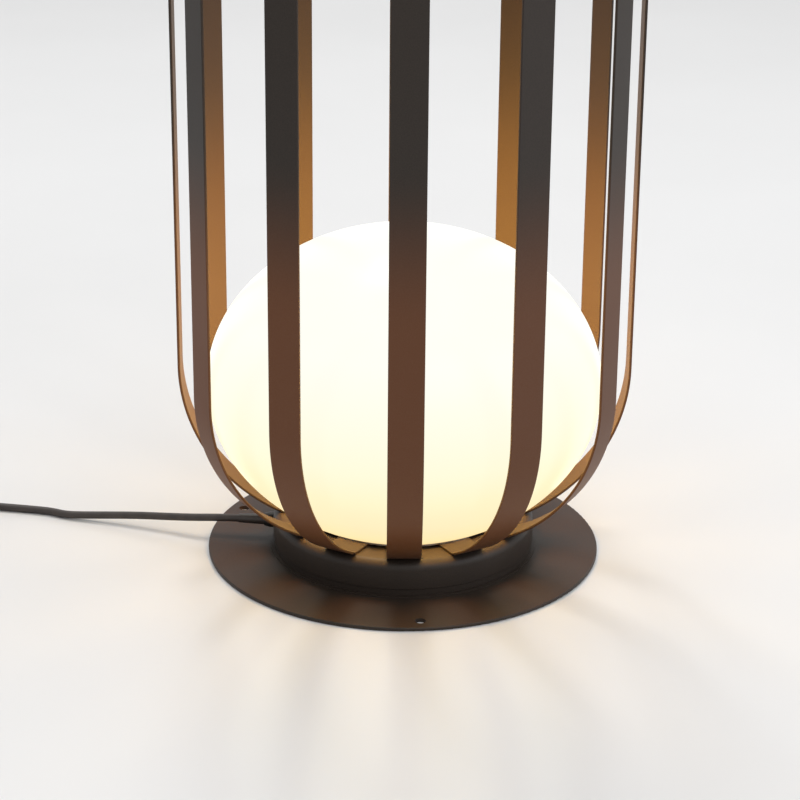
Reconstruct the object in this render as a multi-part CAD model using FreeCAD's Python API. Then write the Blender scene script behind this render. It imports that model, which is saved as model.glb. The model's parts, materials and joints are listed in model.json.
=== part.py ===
import FreeCAD
import Part

import math
import os

# Lantern floor lamp.  Twelve flat steel strips rise from a round pedestal, curve out, run straight up
# as a cage and close on a small top plate.  An oblate opal globe sits low in the cage on a gallery
# ring, over a screw-base lamp on a bridge.  The pedestal stands on a round floor plate with three
# fixing holes, and a mains lead leaves the pedestal's skirt.
# Millimetres, +Z up, origin on the floor at the lamp's axis.  Angles are polar, from +X towards +Y.

V = FreeCAD.Vector
UP = V(0, 0, 1)
O = V(0, 0, 0)

# ---------------------------------------------------------------- driving dimensions
# Floor plate
plate_d = 300.0
plate_t = 3.0
plate_edge_r = 0.8
fixing_margin = 11.0
fixing_hole_d = 8.0
fixing_count = 3
fixing_first_deg = 35.0

# Pedestal: a ring on the plate and a spun cap over it
pedestal_d = 200.0
cap_h = 22.0
cap_wall = 2.0
cap_edge_r = 7.0
cap_mouth_d = 72.0
band_h = 6.0
band_recess = 1.0
flange_out = 2.0
flange_t = 1.0
spigot_h = 6.0
spigot_wall = 2.0
spigot_clear = 0.2

# Pillars that hold the cap down on the plate
pillar_count = 3
pillar_first_deg = 115.0
pillar_ring_r = 46.0
pillar_across = 8.0
plate_screw_sink = 0.3
plate_screw_reach = 8.0
plate_screw_drive_h = 1.3
countersink_extra = 0.6

# Cage of flat strips
strip_count = 12
strip_w = 25.4
strip_t = 2.0
strip_edge_r = 0.45
cage_d = 340.0
cage_bend_r = 132.0
tab_screw_ring_r = 68.0
tab_end = 6.0

# Top of the cage
lamp_h = 650.0
top_plate_t = 3.0
top_cap_h = 20.0
top_cap_wall = 1.5
top_cap_edge_r = 6.0
stud_d = 6.0
acorn_across = 10.0
acorn_h = 8.0
acorn_dome_r = 4.5
stud_head_across = 10.0
stud_head_h = 4.0
stud_in_nut = 4.8

# Globe and what carries it
globe_d = 298.0
globe_h = 235.0
globe_wall = 3.0
globe_mouth_gap = 0.7
globe_foot_w = 6.5
globe_arc_steps = 5
gallery_t = 1.5
gallery_land = 7.0
gasket_t = 1.0
gasket_w = 3.0
gasket_inset = 0.5
hook_count = 3
hook_w = 12.0
hook_t = 1.5
hook_reach = 4.5
hook_play = 0.3
hook_rim_gap = 0.8
hook_slot_gap = 1.0

# Lamp bridge, lampholder and screw-base lamp
bridge_h = 22.0
bridge_w = 30.0
bridge_t = 1.5
bridge_half_span = 25.0
bridge_foot = 11.0
holder_d = 36.0
holder_h = 48.0
holder_cavity_h = 14.0
holder_floor_t = 4.0
holder_bore_d = 28.4
holder_wall = 3.5
holder_rim_out = 1.5
holder_rim_h = 6.0
holder_boss_d = 6.0
holder_screw_in = 3.4
holder_screw_reach = 8.0
holder_tap_h = 9.0
lamp_cap_d = 26.0
shell_t = 0.4
shell_top_gap = 4.0
contact_foot_d = 9.0
contact_foot_t = 1.0
contact_d = 5.0
lamp_tip_r = 4.5
lamp_insulator_r = 6.0
lamp_insulator_h = 3.0
lamp_thread_depth = 1.0
lamp_thread_pitch = 3.6
lamp_neck_h = 5.0
lamp_dome_wall = 1.2
lamp_bulb_d = 60.0
lamp_body_h = 44.0
lamp_neck_d = 29.0
lamp_above_holder = 83.0
contact_h = 3.0
rest_gap = 0.3

# Mains lead, its gland and clamp
cable_d = 6.0
gland_deg = 175.5
gland_z = 16.3
gland_thread_d = 10.0
gland_flange_d = 12.0
gland_flange_t = 3.0
gland_nut_len = 4.3
gland_nut_taper = 1.1
gland_thread_in = 9.0
locknut_extra = 4.0
locknut_t = 3.0
relief_len = 20.0
relief_root_d = 8.4
relief_tip_d = 6.9
lead_first_run = 14.0
bore_clear = 0.1
clamp_u = 82.0
clamp_len = 10.0
clamp_w = 27.0
clamp_top_t = 3.0
clamp_screw_v = 9.5
sheath_past_clamp = 3.0
core_d = 2.2
core_way_v = 5.0
core_way_clear = 0.3

# Terminal block
block_u = 56.0
block_len = 20.0
block_w = 19.0
block_h = 15.0
block_pole_v = 4.6
block_pole_h = 6.75
block_sink = 4.0
terminal_screw_u = 5.5
terminal_screw_d = 2.4
terminal_head_d = 3.2
terminal_sink = 3.0
pole_d = 5.0
pole_bore_d = 3.2
pole_end_gap = 1.0

# Screws and nuts
m4_d = 4.0
m4_hole_d = 4.5
m4_head_d = 7.6
m4_head_h = 2.2
m4_nut_across = 7.0
m4_nut_h = 3.2
m3_d = 3.0
m3_hole_d = 3.4
m3_head_d = 5.5
m3_head_h = 2.0
tab_screw_len = 12.0
pillar_screw_len = 10.0
seat_gap = 0.05
drive_share = 0.6
drive_from_share = 0.45
crown_share = 0.62

# Coil of spare lead and the plug
coil_turns = 7.2
coil_outer_r = 47.5
coil_pitch = 6.5
coil_layer_h = 6.5
coil_steps = 30
tie_deg = 0.0
tie_w = 12.0
tie_t = 1.0
tie_gap = 0.5
tail_straight = 13.0
tail_drop_len = 24.0
plug_w = 35.3
plug_thick = 13.7
plug_relief_len = 20.0
plug_relief_root_d = 10.4
plug_relief_tip_d = 7.2
plug_shoulder_len = 16.0
plug_body_len = 35.0
plug_back_w = 21.0
plug_back_thick = 11.6
pin_d = 4.0
pin_len = 19.0
pin_pitch = 19.0
pin_sleeve_len = 10.0
pin_sleeve_d = 3.8
pin_core_d = 3.2
pin_root_len = 4.0

# Route of the lead's free stretch, from the end of the strain relief to the coil
lead_middle = [
    (-160.5, 15.0, 14.3),
    (-182.0, 22.0, 11.6),
    (-205.0, 29.2, 9.3),
    (-228.0, 35.3, 6.6),
    (-248.5, 39.4, 4.6),
    (-266.0, 43.2, 3.1),
    (-278.0, 49.8, 3.1),
    (-296.0, 53.8, 3.0),
    (-319.0, 58.0, 3.0),
    (-341.0, 61.2, 3.4),
    (-362.0, 62.0, 4.5),
    (-378.5, 62.0, 4.5),
]

# ---------------------------------------------------------------- derived levels and radii
fixing_pcd = plate_d - 2 * fixing_margin
tab_inner_r = tab_screw_ring_r - tab_end
globe_mouth_r = tab_screw_ring_r + m4_head_d / 2 + globe_mouth_gap
globe_foot_r = globe_mouth_r + globe_foot_w
gasket_inner_r = globe_mouth_r + gasket_inset
gasket_outer_r = gasket_inner_r + gasket_w
gallery_inner_r = tab_screw_ring_r - gallery_land
gallery_outer_r = gasket_outer_r + gasket_inset
plate_top = plate_t
band_top = plate_top + band_h
cap_r = pedestal_d / 2
cap_top = band_top + cap_h
cap_under = cap_top - cap_wall
fold_r = cap_r - cap_edge_r
cage_r = cage_d / 2
bend_centre_r = cage_r - cage_bend_r
bend_drop = math.sqrt(cage_bend_r**2 - (fold_r - bend_centre_r) ** 2)
low_bend_z = cap_top + bend_drop
top_fold_z = lamp_h - top_cap_h
high_bend_z = top_fold_z - bend_drop
tab_top = cap_top + strip_t
gallery_top = tab_top + gallery_t
globe_seat = gallery_top + gasket_t
globe_a = globe_d / 2
globe_b = globe_h / 2
globe_centre_z = globe_seat + globe_b * math.sqrt(1 - (globe_foot_r / globe_a) ** 2)
bridge_top = plate_top + bridge_h
holder_top = bridge_top + holder_h
socket_floor = bridge_top + holder_cavity_h + holder_floor_t
relief_root_r = cap_r + rest_gap + gland_flange_t + gland_nut_len
relief_tip_r = relief_root_r + relief_len


def polar(radius, degrees, z=0.0):
    angle = math.radians(degrees)
    return V(radius * math.cos(angle), radius * math.sin(angle), z)


def turned(shape, degrees):
    """A copy turned about the lamp's axis."""
    copy = shape.copy()
    copy.rotate(O, UP, degrees)
    return copy


def around(shape, count, first_deg=0.0):
    """The shape repeated evenly round the lamp's axis."""
    return [turned(shape, first_deg + 360.0 * i / count) for i in range(count)]


def cylinder(diameter, z0, z1, x=0.0, y=0.0):
    return Part.makeCylinder(diameter / 2, z1 - z0, V(x, y, z0))


def rod_x(diameter, x0, x1, y, z):
    """A round bar along X."""
    return Part.makeCylinder(diameter / 2, x1 - x0, V(x0, y, z), V(1, 0, 0))


def block(x0, x1, y0, y1, z0, z1):
    return Part.makeBox(x1 - x0, y1 - y0, z1 - z0, V(x0, y0, z0))


def revolved(edges):
    """A closed outline of edges in the XZ plane turned into a solid about Z."""
    face = Part.Face(Part.Wire(Part.__sortEdges__(edges)))
    return face.revolve(O, UP, 360)


def line(x0, z0, x1, z1):
    return Part.LineSegment(V(x0, 0, z0), V(x1, 0, z1)).toShape()


def lathe(points):
    """A closed polygon of (radius, z) points turned about Z."""
    closed = list(points) + [points[0]]
    return revolved([line(*a, *b) for a, b in zip(closed, closed[1:])])


def quarter(centre_x, centre_z, radius, from_deg):
    """A quarter arc in the XZ plane that starts at from_deg and turns clockwise."""
    at = [math.radians(from_deg - d) for d in (0, 45, 90)]
    p = [V(centre_x + radius * math.cos(a), 0, centre_z + radius * math.sin(a)) for a in at]
    return Part.Arc(*p).toShape()


def spun_cap(outer_r, z0, z1, wall, edge_r):
    """A spun sheet cap, open below: flat top, rounded shoulder, straight skirt."""
    inner_r = outer_r - wall
    turn_x = outer_r - edge_r
    turn_z = z1 - edge_r
    inner_edge = edge_r - wall
    return revolved([
        line(0, z1, turn_x, z1),
        quarter(turn_x, turn_z, edge_r, 90),
        line(outer_r, turn_z, outer_r, z0),
        line(outer_r, z0, inner_r, z0),
        line(inner_r, z0, inner_r, turn_z),
        Part.Arc(V(inner_r, 0, turn_z),
                 V(turn_x + inner_edge * math.cos(math.pi / 4), 0,
                   turn_z + inner_edge * math.sin(math.pi / 4)),
                 V(turn_x, 0, z1 - wall)).toShape(),
        line(turn_x, z1 - wall, 0, z1 - wall),
        line(0, z1 - wall, 0, z1),
    ])


def hexagon(across, z0, z1):
    """A hexagonal prism on Z, by its width across flats."""
    reach = across / 2 / math.cos(math.pi / 6)
    corners = [polar(reach, 60.0 * i, z0) for i in range(7)]
    return Part.Face(Part.makePolygon(corners)).extrude(V(0, 0, z1 - z0))


def button_screw(shank_d, length, head_d, head_h, seat_z):
    """A button-head screw: its head stands on seat_z and its shank goes down."""
    head = Part.makeCone(head_d / 2, head_d / 2 * crown_share, head_h, V(0, 0, seat_z))
    drive = hexagon(shank_d * drive_share, seat_z + head_h * drive_from_share, seat_z + head_h)
    shank = cylinder(shank_d, seat_z - length, seat_z)
    return head.fuse(shank).cut(drive).removeSplitter()


def moved(shape, x, y, z=0.0):
    copy = shape.copy()
    copy.translate(V(x, y, z))
    return copy


def at_gland(shape):
    """Turns a shape made with the lead along +X to the gland's direction."""
    return turned(shape, gland_deg)


def save(name, solids):
    """Writes one node: a solid, or a group of separate solids."""
    parts = solids if isinstance(solids, list) else [solids]
    loose = [s for p in parts for s in p.Solids]
    shape = loose[0] if len(loose) == 1 else Part.makeCompound(loose)
    if not shape.isValid():
        print("NOT VALID", name)
    shape.exportStep("parts/" + name + ".step")
    print("%-18s %2d solids %12.1f mm3" % (name, len(loose), shape.Volume))


# ---------------------------------------------------------------- floor plate and pedestal
def countersink(across, hole_d):
    """The cone and hole of a countersunk screw seen from below the plate."""
    depth = (across - hole_d) / 2
    return Part.makeCone(across / 2, hole_d / 2, depth, O).fuse(cylinder(hole_d, 0, plate_top))


def make_plate():
    edge = plate_edge_r
    r = plate_d / 2
    plate = revolved([
        line(0, 0, r - edge, 0),
        Part.Arc(V(r - edge, 0, 0), V(r - edge + edge * math.sin(math.pi / 4), 0,
                 edge - edge * math.cos(math.pi / 4)), V(r, 0, edge)).toShape(),
        line(r, edge, r, plate_top - edge),
        Part.Arc(V(r, 0, plate_top - edge), V(r - edge + edge * math.cos(math.pi / 4), 0,
                 plate_top - edge + edge * math.sin(math.pi / 4)), V(r - edge, 0, plate_top)).toShape(),
        line(r - edge, plate_top, 0, plate_top),
        line(0, plate_top, 0, 0),
    ])
    fixing = moved(cylinder(fixing_hole_d, 0, plate_top), fixing_pcd / 2, 0)
    plate = plate.cut(around(fixing, fixing_count, fixing_first_deg))
    pillar_hole = moved(countersink(m4_head_d + countersink_extra, m4_hole_d), pillar_ring_r, 0)
    plate = plate.cut(around(pillar_hole, pillar_count, pillar_first_deg))
    m3_tap_d = m3_d + 2 * seat_gap
    tapped = [cylinder(m3_tap_d, 0, plate_top, clamp_u, v) for v in (-clamp_screw_v, clamp_screw_v)]
    tapped.append(cylinder(m3_tap_d, 0, plate_top, block_u, 0))
    foot_v = bridge_half_span + bridge_foot / 2
    tapped += [cylinder(m4_d + 2 * seat_gap, 0, plate_top, 0, v) for v in (-foot_v, foot_v)]
    return plate.cut([at_gland(t) for t in tapped])


def make_pedestal_ring():
    """The ring that locates the cap: a thin flange, a recessed band and a spigot inside the skirt."""
    band_r = cap_r - band_recess
    spigot_r = cap_r - cap_wall - spigot_clear
    inner_r = spigot_r - spigot_wall
    half_notch = (gland_thread_d + locknut_extra) / 2 + 2
    notch = block(inner_r - 1, cap_r - band_recess, -half_notch, half_notch, band_top, band_top + spigot_h)
    ring = lathe([
        (inner_r, plate_top),
        (cap_r + flange_out, plate_top),
        (cap_r + flange_out, plate_top + flange_t),
        (band_r, plate_top + flange_t),
        (band_r, band_top),
        (spigot_r, band_top),
        (spigot_r, band_top + spigot_h),
        (inner_r, band_top + spigot_h),
    ])
    return ring.cut(at_gland(notch))


def gland_hole():
    hole_d = gland_thread_d + 2 * bore_clear
    return at_gland(rod_x(hole_d, cap_r - 2 * cap_wall, cap_r + cap_wall, 0, gland_z))


def make_pedestal_cap():
    cap = spun_cap(cap_r, band_top, cap_top, cap_wall, cap_edge_r)
    cuts = [cylinder(cap_mouth_d, cap_under, cap_top), gland_hole()]
    screw = moved(cylinder(m4_hole_d, cap_under, cap_top), tab_screw_ring_r, 0)
    cuts += around(screw, strip_count)
    pillar = moved(cylinder(m4_hole_d, cap_under, cap_top), pillar_ring_r, 0)
    cuts += around(pillar, pillar_count, pillar_first_deg)
    return cap.cut(cuts)


def make_pillar():
    """A hexagonal spacer from the plate to the underside of the cap, tapped through."""
    spacer = hexagon(pillar_across, plate_top, cap_under)
    return spacer.cut(cylinder(m4_d + 2 * seat_gap, plate_top, cap_under))


def make_plate_screw():
    """A countersunk screw, flush under the plate."""
    cone_h = (m4_head_d - m4_d) / 2
    head = Part.makeCone(m4_head_d / 2, m4_d / 2, cone_h, V(0, 0, plate_screw_sink))
    shank = cylinder(m4_d, plate_screw_sink, plate_top + plate_screw_reach)
    drive = hexagon(m4_d * drive_share, plate_screw_sink, plate_screw_sink + plate_screw_drive_h)
    return head.fuse(shank).cut(drive).removeSplitter()


# ---------------------------------------------------------------- cage
def strip_profile():
    """Outline of one strip in the XZ plane: two tabs, two arcs and the straight between them."""
    inner_bend = cage_bend_r - strip_t
    inner_fold_r = bend_centre_r + math.sqrt(inner_bend**2 - (bend_drop - strip_t) ** 2)
    cage_inner = cage_r - strip_t

    def arc(radius, start, end, centre_z):
        a0 = math.atan2(start[1] - centre_z, start[0] - bend_centre_r)
        a1 = math.atan2(end[1] - centre_z, end[0] - bend_centre_r)
        mid = (a0 + a1) / 2
        between = V(bend_centre_r + radius * math.cos(mid), 0, centre_z + radius * math.sin(mid))
        return Part.Arc(V(start[0], 0, start[1]), between, V(end[0], 0, end[1])).toShape()

    low = cap_top
    high = top_fold_z
    return [
        line(tab_inner_r, low, fold_r, low),
        arc(cage_bend_r, (fold_r, low), (cage_r, low_bend_z), low_bend_z),
        line(cage_r, low_bend_z, cage_r, high_bend_z),
        arc(cage_bend_r, (cage_r, high_bend_z), (fold_r, high), high_bend_z),
        line(fold_r, high, tab_inner_r, high),
        line(tab_inner_r, high, tab_inner_r, high - strip_t),
        line(tab_inner_r, high - strip_t, inner_fold_r, high - strip_t),
        arc(inner_bend, (inner_fold_r, high - strip_t), (cage_inner, high_bend_z), high_bend_z),
        line(cage_inner, high_bend_z, cage_inner, low_bend_z),
        arc(inner_bend, (cage_inner, low_bend_z), (inner_fold_r, low + strip_t), low_bend_z),
        line(inner_fold_r, low + strip_t, tab_inner_r, low + strip_t),
        line(tab_inner_r, low + strip_t, tab_inner_r, low),
    ]


def make_strip():
    face = Part.Face(Part.Wire(strip_profile()))
    strip = face.extrude(V(0, strip_w, 0))
    strip.translate(V(0, -strip_w / 2, 0))
    long_edges = [e for e in strip.Edges if is_long_edge(e)]
    strip = strip.makeFillet(strip_edge_r, long_edges)
    holes = [
        cylinder(m4_hole_d, cap_top, tab_top, tab_screw_ring_r),
        cylinder(m4_hole_d, top_fold_z - strip_t, top_fold_z, tab_screw_ring_r),
    ]
    return strip.cut(holes)


def is_long_edge(edge):
    """True for the edges of a strip between its folds, which are rounded; the tabs stay square."""
    box = edge.BoundBox
    on_side = box.YLength < 0.001
    return on_side and box.ZLength > 2 * strip_t and box.XMin > tab_inner_r + strip_t


# ---------------------------------------------------------------- top
def make_top_plate():
    under = top_fold_z - strip_t - top_plate_t
    top = under + top_plate_t
    disc_r = fold_r - strip_t
    cuts = around(cylinder(m4_hole_d, under, top, tab_screw_ring_r), strip_count)
    cuts.append(cylinder(stud_d + 2 * seat_gap, under, top))
    return cylinder(2 * disc_r, under, top).cut(cuts)


def make_top_cap():
    cap = spun_cap(fold_r - strip_t / 2, top_fold_z, lamp_h, top_cap_wall, top_cap_edge_r)
    return cap.cut(cylinder(stud_d + 2 * bore_clear, lamp_h - top_cap_wall, lamp_h))


def make_top_stud():
    """The stud in the middle of the top plate: a hexagon under the plate, thread to above the cap."""
    under = top_fold_z - strip_t - top_plate_t
    head = hexagon(stud_head_across, under - stud_head_h, under)
    return head.fuse(cylinder(stud_d, under - stud_head_h, lamp_h + stud_in_nut)).removeSplitter()


def make_acorn_nut():
    dome_z = lamp_h + acorn_h - acorn_dome_r
    skirt = hexagon(acorn_across, lamp_h, dome_z)
    dome = Part.makeSphere(acorn_dome_r, V(0, 0, dome_z))
    bore = cylinder(stud_d + 2 * seat_gap, lamp_h - acorn_dome_r, lamp_h + stud_in_nut + seat_gap)
    return skirt.fuse(dome).cut(bore).removeSplitter()


# ---------------------------------------------------------------- globe and gallery
def hook_first_deg():
    """Hooks stand half way between two strips, clear of the screws."""
    return 180.0 / strip_count


def make_gallery():
    """A flat ring over the tabs with upright hooks that the globe's rim turns under."""
    ring = cylinder(2 * gallery_outer_r, tab_top, gallery_top)
    ring = ring.cut(cylinder(2 * gallery_inner_r, tab_top, gallery_top))
    rim_top = globe_seat + globe_wall
    hook_out = globe_mouth_r - hook_rim_gap
    hook_in = hook_out - hook_t
    half_w = hook_w / 2
    nose_z = rim_top + hook_play
    upright = block(hook_in, hook_out, -half_w, half_w, tab_top, nose_z + hook_t)
    nose = block(hook_in, globe_mouth_r + hook_reach, -half_w, half_w, nose_z, nose_z + hook_t)
    ring = ring.fuse(around(upright.fuse(nose), hook_count, hook_first_deg())).removeSplitter()
    return ring.cut(around(cylinder(m4_hole_d, tab_top, gallery_top, tab_screw_ring_r), strip_count))


def make_gasket():
    outer = cylinder(2 * gasket_outer_r, gallery_top, globe_seat)
    return outer.cut(cylinder(2 * gasket_inner_r, gallery_top, globe_seat))


def spheroid_arcs(a, b, z_from):
    """The ellipse of half axes a and b about the globe's centre, from z_from up to the pole."""
    first = math.asin((z_from - globe_centre_z) / b)
    stations = []
    for i in range(globe_arc_steps + 1):
        at = first + (math.pi / 2 - first) * i / globe_arc_steps
        point = V(a * math.cos(at), 0, globe_centre_z + b * math.sin(at))
        stations.append((point, V(-a * math.sin(at), 0, b * math.cos(at)).normalize()))
    stations[-1] = (V(0, 0, globe_centre_z + b), V(-1, 0, 0))
    return [e for (p0, t0), (p1, t1) in zip(stations, stations[1:]) for e in biarc(p0, t0, p1, t1)]


def make_globe():
    a_in = globe_a - globe_wall
    b_in = globe_b - globe_wall
    top = globe_centre_z + globe_b
    rim_top = globe_seat + globe_wall
    rim_r = a_in * math.sqrt(1 - ((rim_top - globe_centre_z) / b_in) ** 2)
    globe = revolved(
        spheroid_arcs(globe_a, globe_b, globe_seat)
        + [line(0, top, 0, top - globe_wall)]
        + spheroid_arcs(a_in, b_in, rim_top)
        + [
            line(rim_r, rim_top, globe_mouth_r, rim_top),
            line(globe_mouth_r, rim_top, globe_mouth_r, globe_seat),
            line(globe_mouth_r, globe_seat, globe_foot_r, globe_seat),
        ]
    )
    half_slot = hook_w / 2 + hook_slot_gap
    slot_r = globe_mouth_r + hook_reach + globe_mouth_gap
    slot = block(0, slot_r, -half_slot, half_slot, globe_seat - gasket_t, rim_top)
    return globe.cut(around(slot, hook_count, hook_first_deg() + 180.0 / hook_count))


# ---------------------------------------------------------------- bridge, lampholder, lamp
def make_bridge():
    """A folded steel strap that stands on the plate and carries the lampholder."""
    half_w = bridge_w / 2
    span = bridge_half_span
    top = block(-half_w, half_w, -span, span, bridge_top - bridge_t, bridge_top)
    bridge = top
    for side in (-1, 1):
        leg_y = sorted((side * (span - bridge_t), side * span))
        foot_y = sorted((side * (span - bridge_t), side * (span + bridge_foot)))
        bridge = bridge.fuse(block(-half_w, half_w, *leg_y, plate_top, bridge_top))
        bridge = bridge.fuse(block(-half_w, half_w, *foot_y, plate_top, plate_top + bridge_t))
        hole_y = side * (span + bridge_foot / 2)
        bridge = bridge.cut(cylinder(m4_hole_d, plate_top, plate_top + bridge_t, 0, hole_y))
    bridge = bridge.removeSplitter()
    bridge = bridge.cut(cylinder(holder_d * 0.5, bridge_top - bridge_t, bridge_top))
    for x in (-holder_screw_x(), holder_screw_x()):
        bridge = bridge.cut(cylinder(m3_hole_d, bridge_top - bridge_t, bridge_top, x, 0))
    return at_gland(bridge)


def holder_screw_x():
    """The lampholder's two screws go up into its wall."""
    return holder_d / 2 - holder_screw_in


def make_bridge_screws():
    y = bridge_half_span + bridge_foot / 2
    screw = button_screw(m4_d, bridge_t + plate_t, m4_head_d, m4_head_h, plate_top + bridge_t)
    return [at_gland(moved(screw, 0, side * y)) for side in (-1, 1)]


def make_holder_screws():
    """Two screws that come up through the bridge into the lampholder's foot."""
    seat = bridge_top - bridge_t
    head = cylinder(m3_head_d, seat - m3_head_h, seat)
    screw = head.fuse(cylinder(m3_d, seat, bridge_top + holder_screw_reach)).removeSplitter()
    return [at_gland(moved(screw, side * holder_screw_x(), 0)) for side in (-1, 1)]


def make_holder():
    """The lampholder: a foot with two tapped bosses, a wiring cavity, a floor and the socket above."""
    cavity_top = bridge_top + holder_cavity_h
    body = cylinder(holder_d, bridge_top, holder_top - holder_rim_h / 2)
    rim = cylinder(holder_d + 2 * holder_rim_out, holder_top - holder_rim_h, holder_top)
    body = body.fuse(rim).removeSplitter()
    cavity = cylinder(holder_d - 2 * holder_wall, bridge_top, cavity_top)
    bosses = [cylinder(holder_boss_d, bridge_top, cavity_top, side * holder_screw_x(), 0) for side in (-1, 1)]
    cavity = cavity.cut(bosses)
    socket = cylinder(holder_bore_d, socket_floor, holder_top)
    body = body.cut([cavity, socket])
    tap_d = m3_d + 2 * seat_gap
    way_d = core_d + 2 * core_way_clear
    blind = [cylinder(tap_d, bridge_top, bridge_top + holder_tap_h, s * holder_screw_x(), 0) for s in (-1, 1)]
    ways = [cylinder(way_d, bridge_top, socket_floor, 0, s * core_way_v) for s in (-1, 1)]
    return at_gland(body.cut(blind + ways))


def make_holder_shell():
    """The brass screw shell inside the socket."""
    outer = holder_bore_d - 2 * seat_gap
    shell_top = holder_top - shell_top_gap
    inside = cylinder(outer - 2 * shell_t, socket_floor, shell_top)
    return cylinder(outer, socket_floor, shell_top).cut(inside)


def make_centre_contact():
    foot_top = socket_floor + contact_foot_t
    foot = cylinder(contact_foot_d, socket_floor, foot_top)
    return foot.fuse(cylinder(contact_d, foot_top, socket_floor + contact_h)).removeSplitter()


def make_lamp_cap():
    """The lamp's threaded base, drawn with even ridges, and its tip contact."""
    tip_z = socket_floor + contact_h + rest_gap
    low = tip_z + lamp_insulator_h
    top = holder_top + rest_gap
    pitch = lamp_thread_pitch
    crest_r = lamp_cap_d / 2
    root_r = crest_r - lamp_thread_depth
    start = low + lamp_thread_depth
    count = int((top - start) / pitch - lamp_thread_depth / pitch)
    points = [(0, tip_z), (lamp_tip_r, tip_z), (lamp_insulator_r, low), (root_r, low)]
    for i in range(count):
        z = start + pitch * i
        points += [(root_r, z), (crest_r, z + pitch * 0.35), (crest_r, z + pitch * 0.65)]
    points += [(root_r, start + pitch * count), (root_r, top), (0, top)]
    return lathe(points)


def lamp_levels():
    foot = holder_top + rest_gap
    dome_r = lamp_bulb_d / 2
    top = holder_top + lamp_above_holder
    centre = top - dome_r
    join = foot + lamp_body_h
    join_r = math.sqrt(dome_r**2 - (centre - join) ** 2)
    return foot, join, join_r, centre, top


def make_lamp_body():
    """The lamp's white housing: a short neck and a flare, bowed a little, up to the dome."""
    foot, join, join_r, centre, top = lamp_levels()
    neck = lamp_neck_d / 2
    neck_top = foot + lamp_neck_h
    between = V(neck + (join_r - neck) * 0.42, 0, neck_top + (join - neck_top) * 0.52)
    flare = Part.Arc(V(neck, 0, neck_top), between, V(join_r, 0, join)).toShape()
    return revolved([
        line(0, foot, neck, foot),
        line(neck, foot, neck, neck_top),
        flare,
        line(join_r, join, 0, join),
        line(0, join, 0, foot),
    ])


def make_lamp_dome():
    foot, join, join_r, centre, top = lamp_levels()
    dome_r = lamp_bulb_d / 2
    inner = dome_r - lamp_dome_wall
    inner_join = math.sqrt(inner**2 - (centre - join) ** 2)

    def over(radius, r0):
        a0 = math.atan2(join - centre, r0)
        mid = (a0 + math.pi / 2) / 2
        between = V(radius * math.cos(mid), 0, centre + radius * math.sin(mid))
        return Part.Arc(V(r0, 0, join), between, V(0, 0, centre + radius)).toShape()

    return revolved([
        over(dome_r, join_r),
        line(0, top, 0, top - lamp_dome_wall),
        over(inner, inner_join),
        line(inner_join, join, join_r, join),
    ])


# ---------------------------------------------------------------- gland, clamp, terminal block
def make_gland_body():
    """Threaded gland: a round flange outside the skirt and the thread through it."""
    bore = cable_d + 2 * bore_clear
    outside = cap_r + rest_gap
    flange = rod_x(gland_flange_d, outside, outside + gland_flange_t, 0, gland_z)
    thread = rod_x(gland_thread_d, cap_r - cap_wall - gland_thread_in, outside, 0, gland_z)
    through = rod_x(bore, 0, outside + gland_flange_t, 0, gland_z)
    return at_gland(flange.fuse(thread).cut(through).removeSplitter())


def make_gland_nut():
    """The domed nut that squeezes the lead."""
    start = cap_r + rest_gap + gland_flange_t
    big = gland_flange_d / 2
    nut = Part.makeCone(big, big - gland_nut_taper, gland_nut_len, V(start, 0, gland_z), V(1, 0, 0))
    return at_gland(nut.cut(rod_x(cable_d + 2 * bore_clear, start, start + gland_nut_len, 0, gland_z)))


def make_gland_locknut():
    """The locknut inside the pedestal, in the notch of the ring and against the skirt."""
    nut = turned(hexagon(gland_thread_d + locknut_extra, 0, locknut_t), 30)
    nut.rotate(O, V(0, 1, 0), 90)
    nut = moved(nut, cap_r - cap_wall - locknut_t - 2 * rest_gap, 0, gland_z)
    return at_gland(nut.cut(rod_x(gland_thread_d + 2 * seat_gap, 0, cap_r, 0, gland_z)))


def make_relief():
    """Tapered rubber strain relief on the lead outside the gland."""
    root = V(relief_root_r, 0, gland_z)
    cone = Part.makeCone(relief_root_d / 2, relief_tip_d / 2, relief_len, root, V(1, 0, 0))
    bore = rod_x(cable_d + 2 * bore_clear, relief_root_r, relief_tip_r, 0, gland_z)
    return at_gland(cone.cut(bore))


def sheath_end():
    return clamp_u - clamp_len / 2 - sheath_past_clamp


def make_cable_inner():
    return at_gland(rod_x(cable_d, sheath_end(), relief_tip_r, 0, gland_z))


def clamp_groove():
    return rod_x(cable_d + 2 * bore_clear, clamp_u - clamp_len, clamp_u + clamp_len, 0, gland_z)


def make_clamp_base():
    half = clamp_len / 2
    base = block(clamp_u - half, clamp_u + half, -clamp_w / 2, clamp_w / 2, plate_top, gland_z - rest_gap / 2)
    holes = [cylinder(m3_hole_d, plate_top, gland_z, clamp_u, v) for v in (-clamp_screw_v, clamp_screw_v)]
    return at_gland(base.cut([clamp_groove()] + holes))


def clamp_bar_top():
    return gland_z + cable_d / 2 + clamp_top_t


def make_clamp_bar():
    half = clamp_len / 2
    low = gland_z + rest_gap / 2
    top = clamp_bar_top()
    bar = block(clamp_u - half, clamp_u + half, -clamp_w / 2, clamp_w / 2, low, top)
    holes = [cylinder(m3_hole_d, gland_z, top, clamp_u, v) for v in (-clamp_screw_v, clamp_screw_v)]
    return at_gland(bar.cut([clamp_groove()] + holes))


def make_clamp_screws():
    screw = button_screw(m3_d, clamp_bar_top() - rest_gap, m3_head_d, m3_head_h, clamp_bar_top())
    return [at_gland(moved(screw, clamp_u, v)) for v in (-clamp_screw_v, clamp_screw_v)]


def pole_z():
    return plate_top + block_pole_h


def block_ends():
    return block_u - block_len / 2, block_u + block_len / 2


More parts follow.
